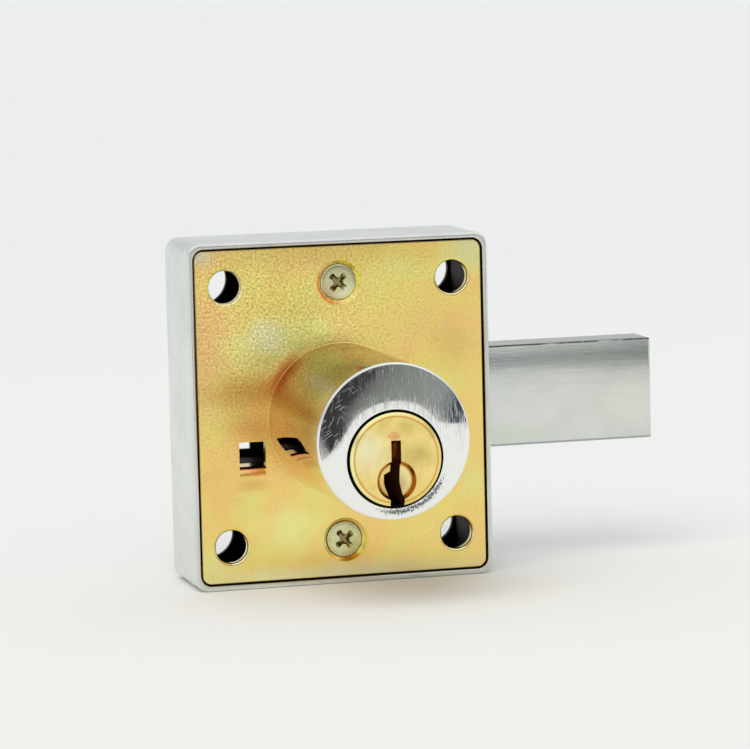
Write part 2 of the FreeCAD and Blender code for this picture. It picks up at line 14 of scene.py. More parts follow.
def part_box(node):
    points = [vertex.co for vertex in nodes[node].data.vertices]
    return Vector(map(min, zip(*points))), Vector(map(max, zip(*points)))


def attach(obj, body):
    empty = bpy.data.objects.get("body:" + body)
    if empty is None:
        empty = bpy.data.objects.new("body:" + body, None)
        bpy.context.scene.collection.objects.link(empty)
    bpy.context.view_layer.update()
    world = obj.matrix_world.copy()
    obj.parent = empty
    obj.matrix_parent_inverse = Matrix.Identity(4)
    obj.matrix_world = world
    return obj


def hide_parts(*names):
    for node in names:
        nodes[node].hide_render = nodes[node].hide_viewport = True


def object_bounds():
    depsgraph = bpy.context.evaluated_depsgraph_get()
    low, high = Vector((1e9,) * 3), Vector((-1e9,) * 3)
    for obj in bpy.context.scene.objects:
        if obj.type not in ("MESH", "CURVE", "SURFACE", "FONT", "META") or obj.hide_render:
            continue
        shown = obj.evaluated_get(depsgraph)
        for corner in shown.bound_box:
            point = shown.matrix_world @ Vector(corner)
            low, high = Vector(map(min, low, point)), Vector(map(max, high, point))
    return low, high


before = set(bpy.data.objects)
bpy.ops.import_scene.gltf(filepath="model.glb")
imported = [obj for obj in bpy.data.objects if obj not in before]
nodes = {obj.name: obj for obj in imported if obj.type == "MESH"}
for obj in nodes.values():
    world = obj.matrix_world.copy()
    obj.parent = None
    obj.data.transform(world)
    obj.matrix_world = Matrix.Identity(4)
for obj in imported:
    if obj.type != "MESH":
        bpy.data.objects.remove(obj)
cad_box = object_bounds()
MM = 0.001


def new_object(name, data):
    made = bpy.data.objects.new(name, data)
    bpy.context.scene.collection.objects.link(made)
    return made


# %% [markdown]
# ## Camera
# The photograph was taken with a long lens, from a little to the left and above. A camera could
# be aimed by eye, but this one was worked out from the four mounting holes and the rims, so that
# a render can be laid over the photograph. It is placed by where it sees the middle of the four
# holes, which is the model's origin.

# %% Camera
view_turn, view_rise, view_roll = math.radians(15.30), math.radians(6.70), math.radians(1.35)
view_depth = 0.5946
focal_px = 4108.6
picture_px = 750
picture_centre_px = (375.0, 374.5)
origin_px = (342.16, 411.34)
sensor_mm = 36.0
nearest_seen = 0.01


def camera_axes():
    """Directions ahead of, right of and up from the camera."""
    level = math.cos(view_rise)
    ahead = Vector((level * math.sin(view_turn), level * math.cos(view_turn), -math.sin(view_rise)))
    right = Vector((math.cos(view_turn), -math.sin(view_turn), 0))
    up = right.cross(ahead)
    c, s = math.cos(view_roll), math.sin(view_roll)
    return ahead, right * c - up * s, right * s + up * c


def make_camera():
    ahead, right, up = camera_axes()
    across, below = [(a - b) / focal_px * view_depth for a, b in zip(origin_px, picture_centre_px)]
    data = bpy.data.cameras.new("camera")
    data.sensor_width = sensor_mm
    data.lens = focal_px / picture_px * sensor_mm
    data.clip_start = nearest_seen
    camera = new_object("camera", data)
    camera.matrix_world = Matrix((right, up, -ahead)).transposed().to_4x4()
    camera.location = up * below - right * across - ahead * view_depth
    bpy.context.scene.camera = camera
    return camera


camera = make_camera()
print("camera at", [round(v, 4) for v in camera.location], "lens", round(camera.data.lens, 1))

# %% [markdown]
# ## Node trees that read like formulas
# A finish is a sum of masks, noises and tints. Here a node's output is held as a wire, and
# arithmetic with wires adds the Math nodes. `add` makes any other node. Colours are named as a
# picture shows them, from 0 to 255, and turned to the linear values that shaders take.

# %% Wires


class Wire:
    """Output of a node. Arithmetic with it adds Math nodes, or Vector Math nodes if it carries a vector."""

    def __init__(self, tree, socket):
        self.tree, self.socket = tree, socket

    def step(self, operation, other=0.0):
        kind = "Math" if is_number(self) else "VectorMath"
        return add(kind, {0: self, 1: other}, operation=operation)

    def __add__(self, other):
        return self.step("ADD", other)

    def __sub__(self, other):
        return self.step("SUBTRACT", other)

    def __rsub__(self, other):
        return add("Math", {0: other, 1: self}, operation="SUBTRACT")

    def __mul__(self, other):
        if is_number(other) and not is_number(self):
            return add("VectorMath", {0: self, "Scale": other}, operation="SCALE")
        return self.step("MULTIPLY", other)

    def __truediv__(self, other):
        return self.step("DIVIDE", other)

    def __abs__(self):
        return self.step("ABSOLUTE")


def is_number(value):
    """True for a plain number, and for a wire that carries one."""
    if isinstance(value, Wire):
        return value.socket.type in ("VALUE", "INT")
    return isinstance(value, (int, float))


def add(kind, inputs=None, take=0, tree=None, **settings):
    """New node in the tree of its wires, or in the one given. Its kind is named in full, or as a shader
    node's without the prefix. It gives the output that take names, as a wire, or a list of them."""
    inputs = inputs or {}
    if tree is None:
        tree = next(value.tree for value in inputs.values() if isinstance(value, Wire))
    made = tree.nodes.new(kind if "Node" in kind else "ShaderNode" + kind)
    for key, value in settings.items():
        setattr(made, key, value)
    for key, value in inputs.items():
        if isinstance(value, Wire):
            tree.links.new(value.socket, made.inputs[key])
        else:
            made.inputs[key].default_value = value
    if isinstance(take, tuple):
        return [Wire(tree, made.outputs[key]) for key in take]
    return Wire(tree, made.outputs[take])


print("wires ready")

# %% Small steps of a node tree


def larger(a, b):
    return a.step("MAXIMUM", b)


def split(vector):
    return add("SeparateXYZ", {0: vector}, take=(0, 1, 2))


def length(vector):
    return add("VectorMath", {0: vector}, take="Value", operation="LENGTH")


def remap(value, low, high, to_low=0.0, to_high=1.0, smooth=False):
    """Change of range, held at its ends."""
    return add(
        "MapRange", {0: value, 1: low, 2: high, 3: to_low, 4: to_high},
        interpolation_type="SMOOTHSTEP" if smooth else "LINEAR",
    )


def band(value, start, full, last, end):
    """1 from full to last, and 0 before start and past end."""
    return remap(value, start, full).step("MINIMUM", remap(value, end, last))


def between(share, low, high):
    """Value from low, where the share is 0, to high, where it is 1."""
    return remap(share, 0.0, 1.0, low, high)


def blend(share, a, b):
    return add("Mix", {0: share, 6: a, 7: b}, take=2, data_type="RGBA")


def ramp(share, stops, smooth=True):
    """Colour along a list of (place, colour) stops."""
    made = add("ValToRGB", {0: share})
    strip = made.socket.node.color_ramp
    strip.interpolation = "EASE" if smooth else "LINEAR"
    while len(strip.elements) < len(stops):
        strip.elements.new(0.5)
    for element, (place, colour) in zip(strip.elements, stops):
        element.position = place
        element.color = colour
    return made


def noise(place, scale=1.0, detail=2.0, rough=0.5, distort=0.0):
    inputs = {"Vector": place, "Scale": scale, "Detail": detail, "Roughness": rough, "Distortion": distort}
    return add("TexNoise", inputs, take="Fac")


def group(name, build, **inputs):
    """Shader group with named inputs and their defaults. build turns their wires into a dict of named
    outputs. What it gives is a function that places the group in a tree."""
    tree = bpy.data.node_groups.new(name, "ShaderNodeTree")
    for label, value in inputs.items():
        kind = "NodeSocketVector" if isinstance(value, tuple) else "NodeSocketFloat"
        tree.interface.new_socket(label, in_out="INPUT", socket_type=kind).default_value = value
    given = tree.nodes.new("NodeGroupInput").outputs
    made = build(*[Wire(tree, given[label]) for label in inputs])
    for label, wire in made.items():
        kind = "NodeSocketFloat" if is_number(wire) else "NodeSocketColor"
        tree.interface.new_socket(label, in_out="OUTPUT", socket_type=kind)
    add("NodeGroupOutput", made, take=())
    print("group", name, "with", len(tree.nodes), "nodes")

    def place_group(*values):
        wires = add("Group", dict(enumerate(values)), take=tuple(made), node_tree=tree)
        return wires if len(wires) > 1 else wires[0]

    return place_group


def emptied(owner):
    """Empty node tree of a material or a world."""
    owner.use_nodes = True
    owner.node_tree.nodes.clear()
    return owner.node_tree


def tone(red, green, blue):
    """Linear colour from one as a picture shows it, by the sRGB curve."""
    linear = []
    for part in (red, green, blue):
        share = part / 255
        linear.append(share / 12.92 if share <= 0.04045 else ((share + 0.055) / 1.055) ** 2.4)
    return (*linear, 1.0)


print("half grey is", round(tone(128, 128, 128)[0], 3))

# %% [markdown]
# ## Studio
# Bright metal shows what stands round it, so the studio matters as much as the metal. The lock
# stands on white paper that is lit evenly. Seen from the lock, the paper in front ends in a low
# arch, and over the arch the room is dark, darkest on the left, by the camera. Chrome needs this
# darkness to look like chrome. Walls and cards could stand there, but they would show and throw
# shadows, so the room is drawn by direction, and only reflections see it: the camera and the
# shadows see plain white paper. A direction is how far a ray goes right and up for each metre
# that it goes forward. World and floor share the room.

# %% Group: the dark room over the paper's edge
paper_tone = tone(236, 238, 238)
room_tones = [
    (0.00, tone(52, 48, 51)), (0.29, tone(62, 58, 61)), (0.36, tone(114, 116, 113)),
    (0.45, tone(127, 131, 127)), (0.84, tone(148, 150, 148)), (0.94, tone(118, 123, 130)),
    (0.985, tone(62, 68, 84)), (1.00, tone(60, 66, 82)),
]
room_left, room_right, room_lean, room_shift = -0.2, 0.7, 0.85, 0.056
seen_from = Vector((0.0, -28.0, -1.0)) * MM
arch_points = [
    (-0.25, -0.27), (-0.154, -0.21), (0.004, -0.101), (0.072, -0.039), (0.116, -0.010), (0.182, 0.010),
    (0.243, 0.021), (0.309, 0.020), (0.383, 0.006), (0.447, -0.022), (0.501, -0.060), (0.607, -0.074),
    (0.757, -0.078),
]
arch_low, arch_high = -0.3, 0.05
arch_blur = 0.006
ceiling = (0.42, 0.27)
left_limit, left_lean, left_bend, left_blur = -0.17, 0.25, 2.6, 0.05
right_limit, right_blur = 1.1, 0.2
least_forward = 0.0001


def build_room(right, forward, up):
    """Tone of the dark room, and a mask of where it is seen. Forward is how far a ray goes to the front."""
    forward = larger(forward, least_forward)
    across, level = right / forward, up / forward
    raised = larger(level, 0.0)
    first, last = arch_points[0][0], arch_points[-1][0]
    heights = [((y - arch_low) / (arch_high - arch_low),) * 3 + (1.0,) for x, y in arch_points]
    places = [(x - first) / (last - first) for x, y in arch_points]
    arch = ramp(remap(across, first, last), list(zip(places, heights)), smooth=False)
    mask = remap(level - between(arch, arch_low, arch_high), -arch_blur, arch_blur)
    mask = mask * remap(level, *ceiling)
    past_left = across - (raised * left_lean + raised * raised * left_bend)
    mask = mask * remap(past_left, left_limit - left_blur, left_limit + left_blur)
    mask = mask * remap(across, right_limit + right_blur, right_limit)
    share = remap(across - raised * room_lean + room_shift, room_left, room_right)
    return {"Color": ramp(share, room_tones, smooth=False), "Mask": mask}


room = group("dark_room", build_room, Right=0.0, Forward=1.0, Up=0.0)


def dark_room(toward):
    """Colour and mask of the room for a direction, which may have any length."""
    x, y, z = split(toward)
    return room(x, y * -1.0, z)


def mix_shader(share, usual, special):
    return add("MixShader", {0: share, 1: usual, 2: special})


print("room tones:", len(room_tones), "points of the arch:", len(arch_points))

# %% World
sky_strength = 0.72
wall_tones = [
    (0.02, paper_tone), (0.12, tone(238, 240, 240)), (0.3, tone(204, 207, 209)), (0.6, tone(250, 250, 252)),
]


def make_world():
    """Even light for shading, white paper for the camera, and a studio for reflections."""
    world = bpy.data.worlds.new("studio")
    bpy.context.scene.world = world
    tree = emptied(world)
    toward = add("TexCoord", take="Generated", tree=tree)
    dark, dark_mask = dark_room(toward)
    mirrored = blend(dark_mask, ramp(split(toward)[2], wall_tones), dark)
    rays = ("Is Camera Ray", "Is Glossy Ray", "Is Transmission Ray")
    camera_ray, glossy_ray, clear_ray = add("LightPath", take=rays, tree=tree)
    soft, shown, backdrop = [
        add("Background", {"Color": colour, "Strength": strength}, tree=tree)
        for colour, strength in (((1, 1, 1, 1), sky_strength), (mirrored, 1.0), (paper_tone, 1.0))
    ]
    seen = mix_shader(larger(glossy_ray, clear_ray), soft, shown)
    add("OutputWorld", {"Surface": mix_shader(camera_ray, seen, backdrop)}, take=())


make_world()
print("world made")

# %% Paper floor
floor_reach = 6.0
floor_z = cad_box[0].z
fade_y = (0.0, 0.5)
near_paper = tone(241, 242, 239)


def make_floor():
    """White paper under the lock that keeps its shadow, and ends in the dark room for reflections."""
    mesh = bpy.data.meshes.new("paper")
    r = floor_reach
    corners = [(-r, -r), (r, -r), (r, r), (-r, r)]
    mesh.from_pydata([(x, y, floor_z) for x, y in corners], [], [(0, 1, 2, 3)])
    paper = bpy.data.materials.new("paper")
    tree = emptied(paper)
    place = add("TexCoord", take="Object", tree=tree)
    dark, dark_mask = dark_room(place - seen_from)
    away = remap(split(place)[1], *fade_y)
    lit = add("BsdfDiffuse", {"Color": blend(away, near_paper, paper_tone)})
    ended = mix_shader(dark_mask, lit, add("Emission", {"Color": dark}))
    glossy_ray = add("LightPath", take="Is Glossy Ray", tree=tree)
    add("OutputMaterial", {"Surface": mix_shader(glossy_ray, lit, ended)}, take=())
    mesh.materials.append(paper)
    new_object("paper", mesh)


make_floor()
print("floor at", round(floor_z / MM, 2), "mm")

# %% Lamp
sun_share = 0.28
sun_spread = math.radians(45)
sun_from = Vector((-0.45, -0.62, 0.95))


def make_sun():
    """One soft lamp from above the left shoulder. Its share and the sky's add up to plain white.
    Mirrors don't see it, because the studio's white ceiling is drawn in the world."""
    data = bpy.data.lights.new("soft_box", "SUN")
    data.angle = sun_spread
    data.energy = sun_share * math.pi / sun_from.normalized().z
    lamp = new_object("soft_box", data)
    lamp.rotation_euler = sun_from.to_track_quat("Z", "Y").to_euler()
    lamp.visible_glossy = False
    return lamp


bpy.context.scene.view_settings.view_transform = "Standard"
print("lamp energy", round(make_sun().data.energy, 2))

# %% [markdown]
# ## Metals
# Every finish is one material on the Principled shader, and metallic, apart from a haze on the
# plate, so its colour is what the metal does to the light that it mirrors. Metal colours are
# named as they look where they mirror the paper. What changes over a surface comes from four
# effects: speckle, brushing, fine scratches and soft patches of another tint. Their nodes could
# be repeated in each material, but as groups they are built once, and each finish gives them its
# own values.

# %% Group: speckle of a rolled or cast surface
origin = (0.0, 0.0, 0.0)


def build_speckle(place, size):
    """Fine grain. Size is its grains in a millimetre, and the output lies about 0.5."""
    return {"Speckle": remap(noise(place * size, 1.0, 2.0, 0.7), 0.3, 0.7)}


speckle = group("speckle", build_speckle, Place=origin, Size=4.0)

# %% Group: brushing
broad_streaks = 0.23


def build_brushing(place, stretch):
    """Streaks along the axis in which the stretch is small. Both outputs lie between 0 and 1."""
    along = place * stretch
    fine = remap(noise(along, 1.0, 3.0, 0.6), 0.3, 0.7)
    return {"Fine": fine, "Broad": remap(noise(along * broad_streaks, 1.0, 2.0, 0.5), 0.35, 0.65)}


brushing = group("brushing", build_brushing, Place=origin, Stretch=(20.0, 20.0, 0.8))

# %% Group: fine scratches
scratch_cell = (8.0, 0.6, 0.16)


def build_scratches(place, turn, width):
    """Mask of thin scratches in two directions, each the middle of a stretched cell."""
    masks = []
    for share in (1.0, -0.45):
        turned = add("VectorRotate", {"Vector": place, "Axis": (0, 1, 0), "Angle": turn * share})
        inputs = {"Vector": turned * scratch_cell, "Scale": 1.0}
        masks.append(add("TexVoronoi", inputs, take="Distance").step("LESS_THAN", width))
    return {"Mask": larger(*masks)}


scratches = group("scratches", build_scratches, Place=origin, Turn=0.5, Width=0.1)

# %% Group: soft patch of another tint
patch_end = 1.15


def build_patch(place, centre, reach, ragged):
    """Mask that is 1 at the centre and fades to 0 at its reach, with a ragged edge."""
    away = length((place - centre) / reach) + (noise(place, 0.3, 1.5, 0.4) - 0.5) * ragged
    return {"Mask": remap(away, patch_end, 0.0, smooth=True)}


patch = group("patch", build_patch, Place=origin, Centre=origin, Reach=(5.0, 5.0, 5.0), Ragged=0.5)

# %% A metal from its look
brightest_metal = 0.98
everywhere = 60.0


def metal_tone(red, green, blue):
    """Metal colour that looks like this tone where it mirrors the paper."""
    levels = [min(brightest_metal, part / paper) for part, paper in zip(tone(red, green, blue), paper_tone)]
    return (*levels[:3], 1.0)


def dyed(colour, share, tint):
    """A colour with a share of a metal's tint laid over it."""
    return blend(share, colour, metal_tone(*tint))


def patched(place, share, tints, patches=(), smooth=True):
    """Colour along the tints, with patches over it, each a (centre, reach, ragged, strength, tint)."""
    colour = ramp(share, [(at, metal_tone(*tint)) for at, tint in tints], smooth)
    for centre, reach, ragged, strength, tint in patches:
        colour = dyed(colour, patch(place, centre, reach, ragged) * strength, tint)
    return colour


def one_depth(rows, y=0.0, reach_y=everywhere):
    """Patches from rows of (x, z, reach x, reach z, ragged, strength, tint), all at the same depth."""
    return [((x, y, z), (reach_x, reach_y, reach_z), *rest) for x, z, reach_x, reach_z, *rest in rows]


def new_metal(name, look, relief):
    """Metal with a relief of so many millimetres. look(place in millimetres) gives its colour, roughness and
    height, and its metallic value where that isn't 1."""
    material = bpy.data.materials.new(name)
    place = add("TexCoord", take="Object", tree=emptied(material))
    colour, rough, height, *metallic = look(place * (1 / MM))
    shader = add("BsdfPrincipled", {
        "Base Color": colour, "Roughness": rough, "Metallic": metallic[0] if metallic else 1.0,
        "Normal": add("Bump", {"Height": height, "Distance": relief * MM}),
    })
    add("OutputMaterial", {"Surface": shader}, take=())
    return material


print("brightest metal tone:", brightest_metal)

# %% [markdown]
# ## Passivated plate
# The plate is steel with a thin zinc coat, dipped in a yellow bath. The film is thinner than a
# soap bubble's and differs from place to place, so it shows straw, gold, pink and green in soft
# clouds. The clouds are noise, and patches are laid where the film is thickest or thinnest: pink
# along the left edge, silver-green above the barrel on the left, and olive along the top. Other
# marks are painted light, not film: an orange painted shade and reflection of the barrel round its
# upper left, a darker painted shade band just left of it, a pale painted highlight along the
# bottom edge, painted highlight and shade on the bent lip under the square hole, and one-sided
# painted light on the rims of the mounting holes and the screw seats. A painted picture could
# show the same, but patches are easy to move and stay soft from close by.

# %% Finish of the plate
film_clouds = (0.13, 2.0, 0.45, 0.3)
film_tints = [
    (0.30, (236, 196, 126)), (0.44, (234, 204, 122)), (0.56, (230, 212, 122)), (0.70, (224, 216, 130)),
]
plate_patches = one_depth([
    (-4, 24, 26, 4.6, 0.7, 0.7, (200, 176, 94)),
    (-20.5, 9, 4.6, 14, 0.7, 0.8, (230, 184, 120)),
    (-8.5, 16.8, 9, 6, 0.7, 0.6, (222, 210, 108)),
    (-12, 9.8, 7.6, 5.2, 0.6, 0.9, (240, 234, 146)),
    (-10.4, 11.2, 4, 3.2, 0.9, 0.6, (244, 244, 214)),
    (-4.4, 11.6, 8, 3.2, 0.6, 0.95, (252, 246, 142)),
    # Painted shade: a darker band just left of the barrel.
    (-15, 3.6, 9, 2.9, 0.6, 0.85, (208, 168, 84)),
    (-11.8, 3.8, 2, 2.6, 0.5, 0.5, (214, 160, 74)),
    (-14, -2, 6, 2.6, 0.6, 0.7, (224, 182, 108)),
    (8.5, 15, 9, 6, 0.7, 0.5, (228, 216, 120)),
    (20, 23, 5, 4.6, 0.7, 0.9, (212, 212, 156)),
    (-20.4, 23.6, 2.6, 2, 0.8, 0.9, (206, 202, 170)),
    (20.5, 0, 4.4, 16, 0.7, 0.6, (240, 206, 130)),
    (16.5, 9, 5, 5, 0.8, 0.7, (218, 188, 112)),
    # Painted highlight: a pale band along the bottom edge.
    (0, -24.1, 30, 2.6, 0.5, 0.85, (244, 242, 196)),
    (-18.5, -9.5, 6, 7, 0.7, 0.75, (236, 190, 118)),
    (-8, -17, 7, 4.6, 0.8, 0.9, (230, 230, 148)),
    (-19.6, -21.6, 5.4, 4.6, 0.7, 0.85, (224, 224, 152)),
    (14, -20, 9, 6, 0.7, 0.6, (240, 214, 132)),
    (19, -11, 3.8, 4.2, 0.7, 0.7, (222, 222, 138)),
])
# Painted highlight on the bent lip under the square hole, and painted shade below it.
tab_lip_light_and_shade = [
    ((-13.3, 0.9, -8.1), (2.6, 1.7, 0.9), 0.2, 0.95, (244, 150, 112)),
    ((-13.4, 0, -9.9), (3.2, 1, 1.4), 0.5, 0.5, (206, 152, 84)),
]
# Painted shade and reflection of the barrel on the plate: an orange arc round its upper left.
barrel_shade_tint = (200, 122, 50)
barrel_shade_centre, barrel_shade_toward = (0.0, 0.0, -1.0), (-0.79, 0.0, 0.61)
barrel_shade_reach, barrel_shade_side = (12.9, 11.2), (0.93, 0.99)
hole_x, hole_z = 16.9, 18.8
hole_ring = (2.2, 2.5, 2.5, 2.85)
# Painted light on the rims of the mounting holes: a yellow-green arc at the upper left and a pale painted
# highlight below.
hole_rim_painted_light = [((-0.7, 0.0, 0.7), (226, 222, 96)), ((0.35, 0.0, -0.94), (252, 228, 178))]
seat_z = 18.75
seat_ring = (2.7, 3.05, 3.05, 3.5)
# Painted reflection on the sloped screw seats: one-sided arcs of orange and yellow-green.
seat_painted_light = [
    (seat_z, (-0.9, 0.0, -0.5), (226, 122, 60)),
    (seat_z, (0.7, 0.0, 0.7), (206, 210, 60)),
    (-seat_z, (0.7, 0.0, -0.7), (200, 186, 60)),
]
plate_edge_x, plate_edge_z = 21.22, 23.97
plate_edge_tone = (168, 150, 100)
rolled_patch = ((-12.0, 0.0, 15.0), (34.0, everywhere, 26.0), 0.6)
plate_grain, plate_grains, plate_grain_middle = 2.9, (0.1, 0.85), 0.49
plate_shades, plate_roughs, milky = (0.97, 0.9), (0.19, 0.24), 0.36
hazed_patch, hazed = ((2.0, 0.0, 12.6), (10.0, everywhere, 3.4), 0.4), 0.4


def flat_offset(place, centre):
    """Offset from a centre as seen from the front, and its length."""
    off = (place - centre) * (1.0, 0.0, 1.0)
    return off, length(off)


def facing(off, radius, toward):
    """How much of an offset points one way, from -1 to 1."""
    along = add("VectorMath", {0: off, 1: toward}, take="Value", operation="DOT_PRODUCT")
    return along / larger(radius, 0.01)


def ring_arc(off, radius, ring, toward):
    """Mask of the part of a ring that lies to one side."""
    return band(radius, *ring) * remap(facing(off, radius, toward), 0.2, 0.8)


def nearest_hole(place):
    """Offset from the nearest of the four mounting holes, and its length."""
    x, y, z = split(place)
    parts = [(abs(part) - at) * part.step("SIGN") for part, at in ((x, hole_x), (z, hole_z))]
    off = add("CombineXYZ", {"X": parts[0], "Z": parts[1]})
    return off, length(off)


def outside_box(place, half_x, half_z, blur=0.05):
    """1 outside a rectangle about the Y axis, 0 inside it."""
    x, y, z = split(place)
    past = [remap(abs(part), half - blur, half + blur) for part, half in ((x, half_x), (z, half_z))]
    return larger(*past)


def plate_look(place):
    colour = patched(place, noise(place, *film_clouds), film_tints, plate_patches + tab_lip_light_and_shade)
    off, radius = flat_offset(place, barrel_shade_centre)
    side = remap(facing(off, radius, barrel_shade_toward), *barrel_shade_side)
    colour = dyed(colour, remap(radius, *barrel_shade_reach, smooth=True) * side, barrel_shade_tint)
    for z, toward, tint in seat_painted_light:
        colour = dyed(colour, ring_arc(*flat_offset(place, (0.0, 0.0, z)), seat_ring, toward), tint)
    off, radius = nearest_hole(place)
    for toward, tint in hole_rim_painted_light:
        colour = dyed(colour, ring_arc(off, radius, hole_ring, toward), tint)
    grain = speckle(place, plate_grain)
    rolled = patch(place, *rolled_patch)
    grain_shade = (grain - plate_grain_middle) * between(rolled, *plate_grains)
    colour = colour * (between(rolled, *plate_shades) + grain_shade)
    colour = dyed(colour, outside_box(place, plate_edge_x, plate_edge_z), plate_edge_tone)
    metallic = remap(rolled, 0.2, 0.9, 1.0, milky) * between(patch(place, *hazed_patch), 1.0, hazed)
    return colour, between(rolled, *plate_roughs), grain, metallic


print("patches on the plate:", len(plate_patches + tab_lip_light_and_shade))

# %% [markdown]
# ## Chromed barrel
# The side of the barrel is a smooth mirror. A golden tint is painted on it as a painted reflection
# of the plate that it mirrors, with darker olive patches of painted shade near the root and the
# rim, and a thin painted highlight at the root. Its face was brushed up and down before it was
# plated, and keys and other locks have scratched it since. Just outside the bore, at the lower
# right, the key's bow has scuffed it dark. Such marks could be cut into the mesh, but they are so
# fine that masks, which change gloss and relief, show the same. A ring of painted shade lies in
# the gap round the plug.

# %% Finish of the barrel
face_y = (-27.2, -27.6)
face_brushing = (8.0, 1.0, 0.5)
plug_centre = (0.0, 0.0, -3.4)
gap_outer, gap_shade_tone = 6.95, (34, 27, 20)
scuff_middle, scuff_half, scuff_share = 7.45, 0.8, 0.3
scuff_toward, scuff_tick = (0.42, 0.0, -0.91), (4.2, 1.0, 3.0)
scuff_tone = (40, 42, 58)
scuff_ticks, scuff_ramp = (1.0, 3.0, 0.65), (0.66, 0.78, 0.0, 0.85)
scratch_turns, scratch_width = (0.8, 2.1), 0.1
# Plain chrome at the front, then a golden painted reflection of the plate towards the root, ending in a thin
# painted highlight at the root.
chrome_and_reflection_tints = [
    (0.0, (228, 231, 228)), (0.03, (226, 220, 204)), (0.3, (220, 192, 136)),
    (0.85, (208, 166, 98)), (0.997, (200, 154, 84)), (1.0, (250, 222, 150)),
]
# Painted shade: darker olive patches on the side near the root and the rim.
side_shade_patches = [
    ((-5.6, -8, 8), (6.6, 22, 5.4), 0.3, 0.85, (158, 134, 60)),
    ((-9.6, -8, 4), (5, 22, 5.6), 0.3, 0.85, (162, 120, 52)),
    ((-10.8, -10, -3), (5, 20, 4.4), 0.3, 0.7, (170, 130, 72)),
    ((-6.6, -21, 8.2), (8, 18, 7), 0.2, 0.85, (104, 94, 54)),
    ((-11, -22, 0.6), (6, 13, 6.4), 0.2, 0.7, (126, 96, 58)),
]
side_y = (-27.4, 0.0)
streak_x, streak_levels = (-6.0, -1.5), (0.5, 0.85)
chrome_rough, streak_rough, scratch_rough, gap_rough = 0.03, 0.26, 0.3, 0.4


def scuff_mask(place):
    """Short dark ticks just outside the bore, from its bottom round to the right."""
    off, radius = flat_offset(place, plug_centre)
    near = remap(abs(radius - scuff_middle), scuff_half, 0.1)
    density = near * remap(facing(off, radius, scuff_toward), 0.58, 0.88)
    return remap(noise(off * scuff_tick, *scuff_ticks) + density * scuff_share, *scuff_ramp)


def chrome_look(place):
    x, y, z = split(place)
    face = remap(y, *face_y)
    fine, broad = brushing(place, face_brushing)
    streaks = remap(fine, *streak_levels) * (face * remap(x, *streak_x, 0.25, 1.0))
    scratched = larger(*[scratches(place, turn, scratch_width) for turn in scratch_turns])
    scratched = scratched * (face * remap(x, *streak_x, 1.0, 0.2))
    in_gap = flat_offset(place, plug_centre)[1].step("LESS_THAN", gap_outer)
    colour = patched(place, remap(y, *side_y), chrome_and_reflection_tints, side_shade_patches, smooth=False)
    colour = dyed(colour, face, chrome_and_reflection_tints[0][1])
    colour = dyed(colour, scuff_mask(place) * face, scuff_tone)
    # Painted shade in the gap round the plug: the bore's mouth and wall are darkened.
    colour = dyed(colour, in_gap, gap_shade_tone)
    rough = streaks * streak_rough + chrome_rough + scratched * scratch_rough + in_gap * gap_rough
    return colour, rough, streaks - scratched * 0.5


print("patches on the barrel:", len(side_shade_patches))

# %% [markdown]
# ## Brass plug
# The plug is turned from brass bar and polished flat. Handling has toned it unevenly, and above
# the keyway the key's tip has worn it to a coppery spot. The edges of its rim and dimple catch
# the light and fall into shade. They could be rounded in the mesh, but rings of painted highlight
# and painted shade show it on the packed piece as it is.

# %% Finish of the plug
plug_front = -28.65
brass_clouds, brass_grain = (0.4, 3.0, 0.6, 0.3), (5.0, 2.0, 0.6)
brass_tints = [(0.3, (220, 198, 116)), (0.6, (234, 212, 136))]
plug_patches = one_depth([
    (-4, -2, 3.6, 4, 0.5, 0.85, (250, 232, 192)),
    (3.7, -2.9, 3.4, 2, 1.2, 0.7, (186, 164, 90)),
    (1.6, 1, 2, 1.5, 0.6, 0.7, (200, 180, 98)),
    (-1.6, 0.6, 1.6, 1.2, 0.6, 0.5, (212, 190, 108)),
    (3, -7.2, 2.6, 1.8, 0.5, 0.5, (222, 196, 108)),
], plug_front, 3.0)
worn_spot = ((-0.3, plug_front, -0.15), (1.35, 2.0, 0.85), 1.2)
worn_tone, speck_tone = (214, 140, 104), (150, 126, 70)
# Painted shade on the rim's inner edge, and a painted highlight on its lit side.
plug_rim = (5.8, 6.0, 6.0, 6.22)
rim_shade_tone = (196, 134, 50)
rim_lit, rim_lit_toward = (6.1, 6.24), (-0.92, 0.0, 0.38)
rim_lit_tone = (255, 232, 160)
dimple_centre = (0.0, 0.0, -6.4)
dimple_ring = (2.08, 2.34, 2.78, 2.86)
# Painted shade in the dimple's ring, and a painted highlight in its dish.
dimple_shade_tone, dish_highlight_tone = (190, 122, 30), (255, 232, 176)
dish_toward = (0.9, 0.0, 0.3)
keyway_y = (plug_front + 0.7, plug_front + 1.6)
inside_tone = (214, 160, 100)
plug_brushing, plug_roughs = (6.0, 6.0, 1.2), (0.1, 0.2)


